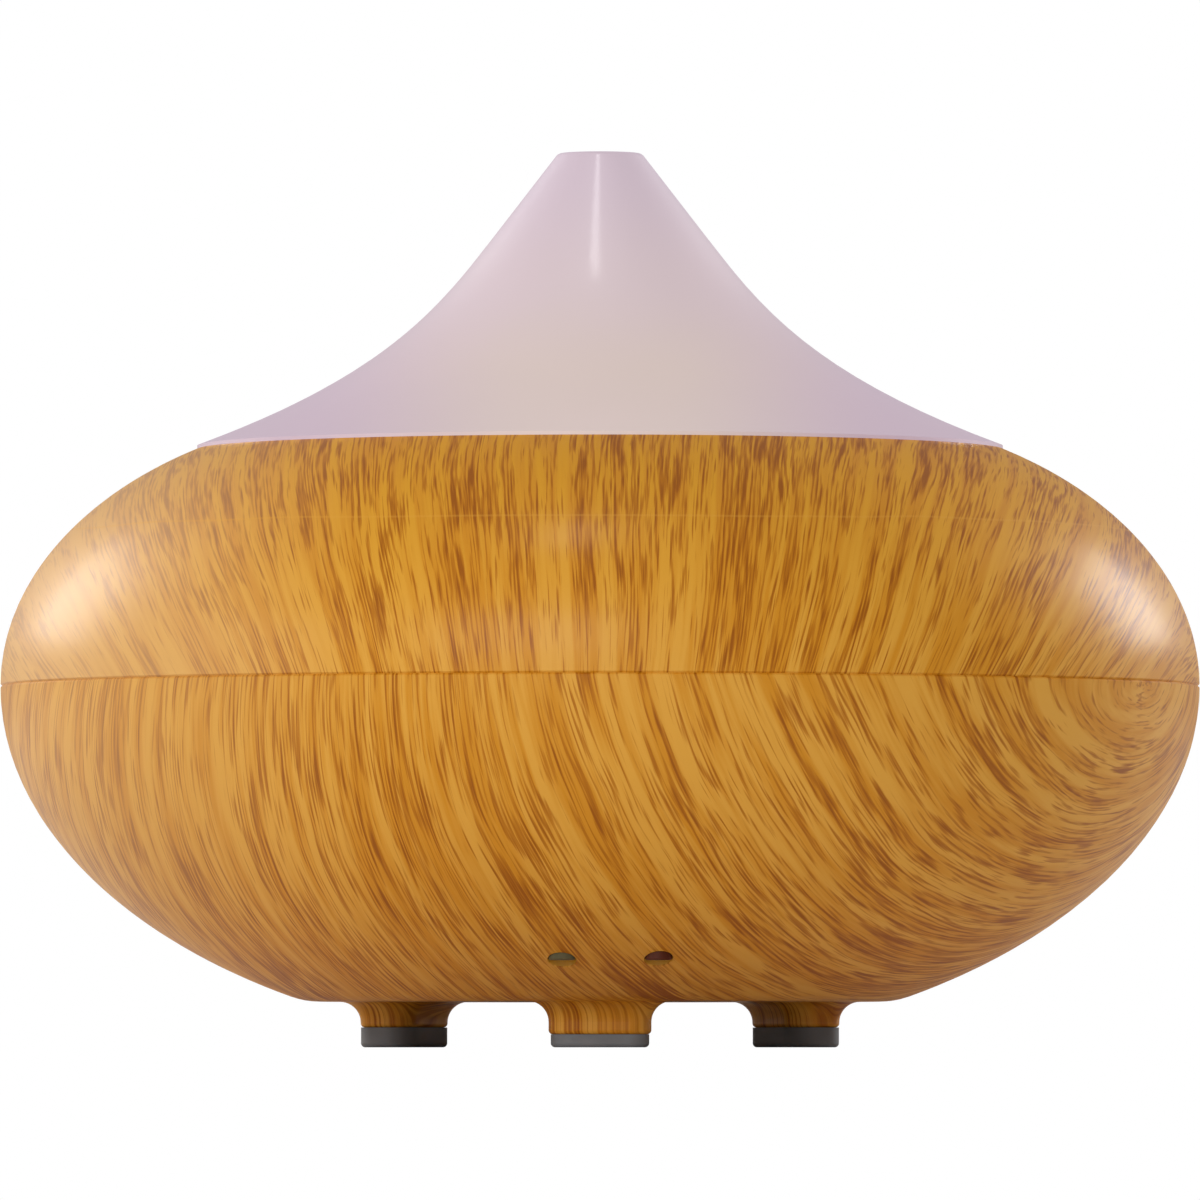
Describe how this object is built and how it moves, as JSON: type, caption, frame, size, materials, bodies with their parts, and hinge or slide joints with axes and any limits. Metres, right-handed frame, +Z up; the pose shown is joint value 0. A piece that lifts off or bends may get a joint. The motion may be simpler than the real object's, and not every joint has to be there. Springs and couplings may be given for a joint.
{
  "type": "cool mist humidifier",
  "caption": "Squat round wood-look ultrasonic humidifier with a milky, lit cone, a lift-off cover, tank, fan and two buttons underneath.",
  "frame": {"origin": "on the table under the centre of the body, at the underside of the foot pads", "axes": "+Z up along the body's axis; -Y is the front, where the two buttons are; +Y is the back, where the power jack is; +X is to the right seen from the front"},
  "size_m": [0.168, 0.168, 0.1254],
  "materials": {
    "wood_film": "plastic shell printed with a wood-grain film under a satin-gloss lacquer",
    "frosted_plastic": "milky, light-diffusing, satin",
    "white_plastic": "moulded white, satin",
    "grey_rubber": "dark grey, matt",
    "amber_plastic": "moulded amber brown, satin",
    "steel": "zinc plated",
    "steel_core": "laminated core with copper windings",
    "black_foam": "closed-cell foam",
    "black_plastic": "moulded black",
    "bronze": "sintered, oil filled",
    "magnet": "bonded ferrite",
    "silicone": "translucent white silicone",
    "piezo_steel": "glazed steel face",
    "white_board": "white solder mask",
    "green_board": "green solder mask",
    "lamp": "white lamp body with a clear dome",
    "dark_ferrite": "ferrite drum, copper wound",
    "aluminium": "extruded",
    "nickel": "nickel plated",
    "lead_sleeve": "soft sleeve",
    "grey_plastic": "translucent grey",
    "red_plastic": "dark red brown"
  },
  "bodies": {
    "base": {"lower_shell": "wood_film", "foot_pad_front": "grey_rubber", "foot_pad_left": "grey_rubber", "foot_pad_right": "grey_rubber", "vent_cover": "amber_plastic", "vent_screws": "steel", "base_screws": "steel", "fan_gasket": "black_foam", "fan_frame": "black_plastic", "fan_bush": "bronze", "fan_stator": "steel_core", "fan_screws": "steel", "water_tank": "white_plastic", "air_tower_cap": "white_plastic", "piezo_seal": "silicone", "piezo_disc": "piezo_steel", "piezo_plate": "steel", "piezo_screws": "steel", "light_board": "white_board", "light_screws": "steel", "lamps": "lamp", "main_board": "green_board", "main_board_screws": "steel", "drive_coil": "dark_ferrite", "capacitors": "black_plastic", "heat_sink": "aluminium", "drive_transistor": "black_plastic", "control_chip": "black_plastic", "plug_sockets": "white_plastic", "mist_switch": "black_plastic", "light_switch": "black_plastic", "switch_board": "green_board", "switch_board_screws": "steel", "power_jack": "black_plastic", "jack_pin": "nickel", "jack_bracket": "white_plastic", "jack_screws": "steel", "fan_lead": "lead_sleeve", "piezo_lead": "lead_sleeve", "light_lead": "lead_sleeve", "jack_lead": "lead_sleeve", "switch_lead": "lead_sleeve"},
    "cover": {"upper_shell": "wood_film", "mist_cone": "frosted_plastic", "cone_retainer": "white_plastic", "retainer_screws": "steel"},
    "lid": {"splash_lid": "white_plastic"},
    "fan_wheel": {"fan_rotor": "black_plastic", "fan_magnet": "magnet", "fan_shaft": "steel"},
    "mist_key": {"mist_button": "grey_plastic", "mist_switch_plunger": "red_plastic"},
    "light_key": {"light_button": "red_plastic", "light_switch_plunger": "red_plastic"}
  },
  "joints": [
    {"name": "cover_lift", "type": "slide", "parent": "base", "child": "cover", "axis": [0, 0, 1], "range_m": [0, 0.15]},
    {"name": "lid_lift", "type": "slide", "parent": "base", "child": "lid", "axis": [0, 0, 1], "range_m": [0, 0.075]},
    {"name": "fan_spin", "type": "hinge", "parent": "base", "child": "fan_wheel", "pos_m": [0, 0, 0.0166], "axis": [0, 0, 1], "continuous": true},
    {"name": "mist_button_press", "type": "slide", "parent": "base", "child": "mist_key", "axis": [0, 0, 1], "range_m": [0, 0.0005], "stiffness_N_per_m": 600, "springref_m": -0.001},
    {"name": "light_button_press", "type": "slide", "parent": "base", "child": "light_key", "axis": [0, 0, 1], "range_m": [0, 0.0005], "stiffness_N_per_m": 600, "springref_m": -0.001}
  ],
  "couplings": [
    {"joint": "lid_lift", "follows": "cover_lift", "ratio": 0.5}
  ]
}
